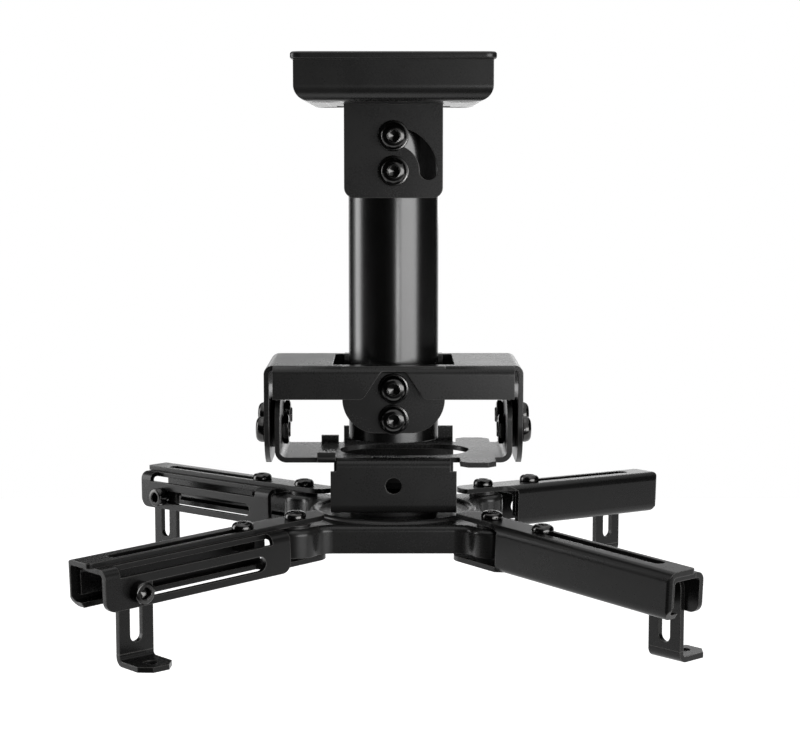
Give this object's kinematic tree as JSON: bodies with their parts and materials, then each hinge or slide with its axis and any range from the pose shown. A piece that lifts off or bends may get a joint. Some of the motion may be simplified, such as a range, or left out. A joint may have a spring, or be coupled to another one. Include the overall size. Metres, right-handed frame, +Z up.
{
  "type": "projector ceiling mount",
  "caption": "Black steel ceiling mount: ceiling box, tilting pole, folded yoke and cradle, and a swivelling spider with telescopic arms and feet for a projector.",
  "frame": {"origin": "middle of the plate's upper face, which lies against the ceiling", "axes": "+Z up into the ceiling; -Y is the front, where the bolt heads are; X to the right"},
  "size_m": [0.2943, 0.2819, 0.2735],
  "materials": {
    "sheet_black": "satin powder coat",
    "tube_black": "satin powder coat",
    "arm_black": "satin powder coat",
    "fastener_black": "black zinc, half gloss",
    "pad_black": "matt nylon"
  },
  "bodies": {
    "ceiling": {"ceiling_plate": "sheet_black", "ceiling_tray": "sheet_black", "tray_floor": "sheet_black", "clevis_bracket": "sheet_black"},
    "pole": {"pole_tube": "tube_black", "pitch_bolts": "fastener_black", "pitch_washers": "fastener_black", "pitch_nuts": "fastener_black", "yoke_bolts": "fastener_black", "yoke_washers": "fastener_black", "yoke_nuts": "fastener_black"},
    "yoke": {"yoke": "sheet_black"},
    "cradle": {"cradle": "sheet_black", "tilt_bolts": "fastener_black", "tilt_washers": "fastener_black", "tilt_spacers": "pad_black", "tilt_nuts": "fastener_black", "swivel_bolt": "fastener_black", "swivel_pad": "pad_black", "swivel_washer": "fastener_black", "swivel_nut": "fastener_black"},
    "hub": {"hub": "sheet_black", "arm_pivot_screws": "fastener_black", "arm_pivot_nuts": "fastener_black"},
    "arm_front_left": {"rail_front_left": "arm_black"},
    "extension_front_left": {"slide_front_left": "arm_black", "side_plate_front_left": "arm_black", "slide_screw_front_left": "fastener_black", "slide_nut_front_left": "fastener_black"},
    "clamp_front_left": {"foot_screw_front_left": "fastener_black", "foot_nut_front_left": "fastener_black"},
    "leg_front_left": {"foot_plate_front_left": "arm_black", "foot_front_left": "arm_black"},
    "arm_front_right": {"rail_front_right": "arm_black"},
    "extension_front_right": {"slide_front_right": "arm_black", "side_plate_front_right": "arm_black", "slide_screw_front_right": "fastener_black", "slide_nut_front_right": "fastener_black"},
    "clamp_front_right": {"foot_screw_front_right": "fastener_black", "foot_nut_front_right": "fastener_black"},
    "leg_front_right": {"foot_plate_front_right": "arm_black", "foot_front_right": "arm_black"},
    "arm_rear_left": {"rail_rear_left": "arm_black"},
    "extension_rear_left": {"slide_rear_left": "arm_black", "side_plate_rear_left": "arm_black", "slide_screw_rear_left": "fastener_black", "slide_nut_rear_left": "fastener_black"},
    "clamp_rear_left": {"foot_screw_rear_left": "fastener_black", "foot_nut_rear_left": "fastener_black"},
    "leg_rear_left": {"foot_plate_rear_left": "arm_black", "foot_rear_left": "arm_black"},
    "arm_rear_right": {"rail_rear_right": "arm_black"},
    "extension_rear_right": {"slide_rear_right": "arm_black", "side_plate_rear_right": "arm_black", "slide_screw_rear_right": "fastener_black", "slide_nut_rear_right": "fastener_black"},
    "clamp_rear_right": {"foot_screw_rear_right": "fastener_black", "foot_nut_rear_right": "fastener_black"},
    "leg_rear_right": {"foot_plate_rear_right": "arm_black", "foot_rear_right": "arm_black"}
  },
  "joints": [
    {"name": "pole_pitch", "type": "hinge", "parent": "ceiling", "child": "pole", "pos_m": [0, 0, -0.055], "axis": [0, 1, 0], "range_deg": [0, 90]},
    {"name": "yoke_roll", "type": "hinge", "parent": "pole", "child": "yoke", "pos_m": [0, 0, -0.1613], "axis": [0, 1, 0], "range_deg": [-5, 5]},
    {"name": "head_tilt", "type": "hinge", "parent": "yoke", "child": "cradle", "pos_m": [0, 0, -0.185], "axis": [1, 0, 0], "range_deg": [-12, 12]},
    {"name": "head_swivel", "type": "hinge", "parent": "cradle", "child": "hub", "pos_m": [0, 0, -0.226], "axis": [0, 0, 1], "continuous": true},
    {"name": "arm_swing_front_left", "type": "hinge", "parent": "hub", "child": "arm_front_left", "pos_m": [-0.0475, -0.0465, -0.2244], "axis": [-0.0259, -0.0234, 0.9994], "range_deg": [-20, 20]},
    {"name": "slide_extend_front_left", "type": "slide", "parent": "arm_front_left", "child": "extension_front_left", "axis": [-0.7427, -0.6687, -0.0349], "range_m": [0, 0.07]},
    {"name": "foot_shift_front_left", "type": "slide", "parent": "extension_front_left", "child": "clamp_front_left", "axis": [0.7427, 0.6687, 0.0349], "range_m": [0, 0.056]},
    {"name": "foot_height_front_left", "type": "slide", "parent": "clamp_front_left", "child": "leg_front_left", "axis": [0, 0, 1], "range_m": [0, 0.02]},
    {"name": "arm_swing_front_right", "type": "hinge", "parent": "hub", "child": "arm_front_right", "pos_m": [0.0475, -0.0465, -0.2244], "axis": [0.0327, -0.0363, 0.9988], "range_deg": [-20, 20]},
    {"name": "slide_extend_front_right", "type": "slide", "parent": "arm_front_right", "child": "extension_front_right", "axis": [0.6683, -0.7423, -0.0488], "range_m": [0, 0.07]},
    {"name": "foot_shift_front_right", "type": "slide", "parent": "extension_front_right", "child": "clamp_front_right", "axis": [-0.6683, 0.7423, 0.0488], "range_m": [0, 0.056]},
    {"name": "foot_height_front_right", "type": "slide", "parent": "clamp_front_right", "child": "leg_front_right", "axis": [0, 0, 1], "range_m": [0, 0.02]},
    {"name": "arm_swing_rear_left", "type": "hinge", "parent": "hub", "child": "arm_rear_left", "pos_m": [-0.0475, 0.0465, -0.2244], "axis": [-0.0115, 0.0107, 0.9999], "range_deg": [-20, 20]},
    {"name": "slide_extend_rear_left", "type": "slide", "parent": "arm_rear_left", "child": "extension_rear_left", "axis": [-0.7313, 0.6819, -0.0157], "range_m": [0, 0.07]},
    {"name": "foot_shift_rear_left", "type": "slide", "parent": "extension_rear_left", "child": "clamp_rear_left", "axis": [0.7313, -0.6819, 0.0157], "range_m": [0, 0.056]},
    {"name": "foot_height_rear_left", "type": "slide", "parent": "clamp_rear_left", "child": "leg_rear_left", "axis": [0, 0, 1], "range_m": [0, 0.02]},
    {"name": "arm_swing_rear_right", "type": "hinge", "parent": "hub", "child": "arm_rear_right", "pos_m": [0.0475, 0.0465, -0.2244], "axis": [0.0285, 0.0231, 0.9993], "range_deg": [-20, 20]},
    {"name": "slide_extend_rear_right", "type": "slide", "parent": "arm_rear_right", "child": "extension_rear_right", "axis": [0.7766, 0.6289, -0.0366], "range_m": [0, 0.07]},
    {"name": "foot_shift_rear_right", "type": "slide", "parent": "extension_rear_right", "child": "clamp_rear_right", "axis": [-0.7766, -0.6289, 0.0366], "range_m": [0, 0.056]},
    {"name": "foot_height_rear_right", "type": "slide", "parent": "clamp_rear_right", "child": "leg_rear_right", "axis": [0, 0, 1], "range_m": [0, 0.02]}
  ]
}
